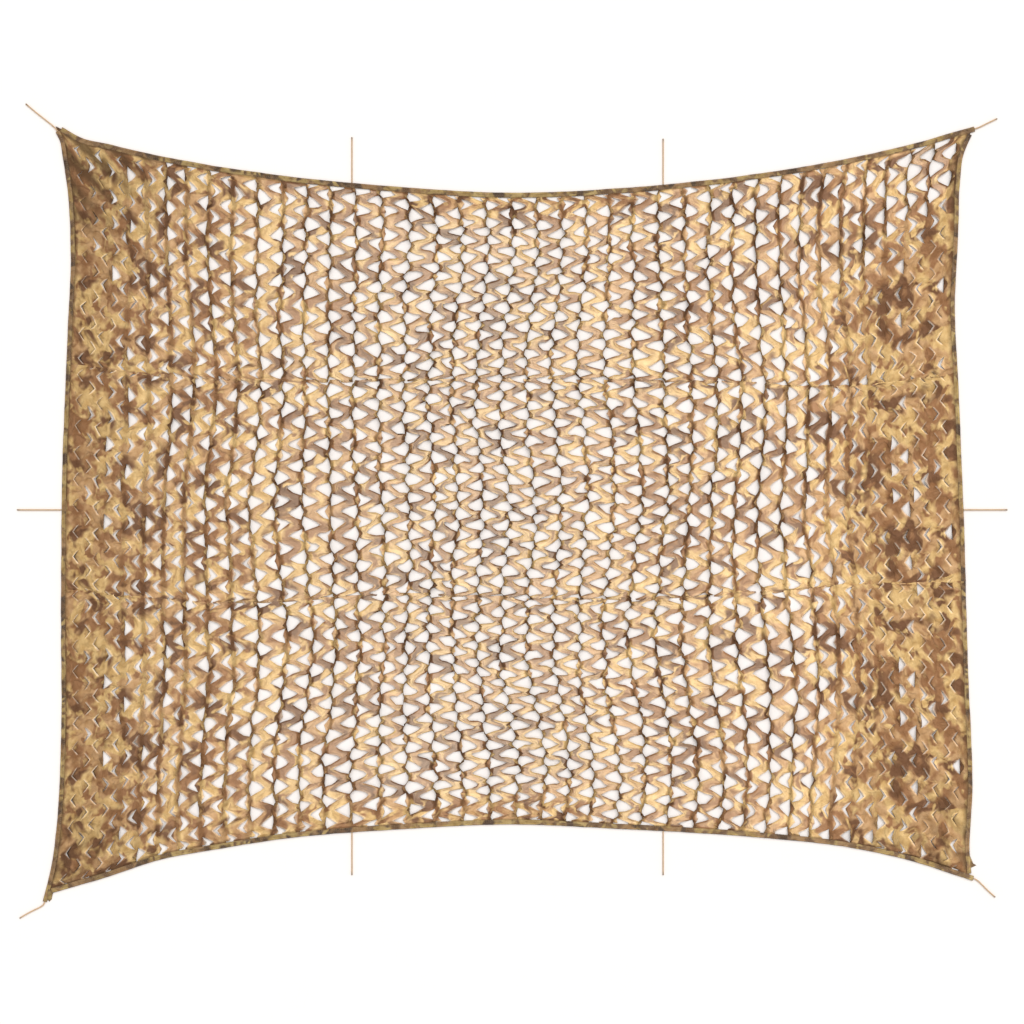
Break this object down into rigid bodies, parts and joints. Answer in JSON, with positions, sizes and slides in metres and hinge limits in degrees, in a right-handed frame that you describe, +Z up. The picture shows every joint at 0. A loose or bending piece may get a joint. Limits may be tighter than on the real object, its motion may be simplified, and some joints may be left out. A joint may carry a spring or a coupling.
{
  "type": "camouflage net",
  "caption": "Rectangular desert camouflage net of slit printed cloth, with folded edge bindings and cord ties, laid flat and pulled out at its corners.",
  "frame": {"origin": "on the ground under the middle of the net's box, ties left out", "axes": "+X along the long edges, towards the right of the laid net; +Y along the short edges, towards its upper edge; +Z up from the ground"},
  "size_m": [4.385, 3.6113, 0.0212],
  "materials": {
    "cloth": "slit coated polyester with a printed desert camouflage, matt",
    "edging": "folded woven tape with the same print, matt",
    "cord": "braided beige polyester cord, matt"
  },
  "bodies": {
    "root": {"binding_bottom": "edging", "binding_left": "edging", "binding_right": "edging", "binding_top": "edging", "net_panel_bottom": "cloth", "net_panel_middle": "cloth", "net_panel_top": "cloth", "tie_bottom_left": "cord", "tie_bottom_right": "cord", "tie_corner_bottom_left": "cord", "tie_corner_bottom_right": "cord", "tie_corner_top_left": "cord", "tie_corner_top_right": "cord", "tie_left": "cord", "tie_right": "cord", "tie_top_left": "cord", "tie_top_right": "cord"}
  },
  "joints": []
}
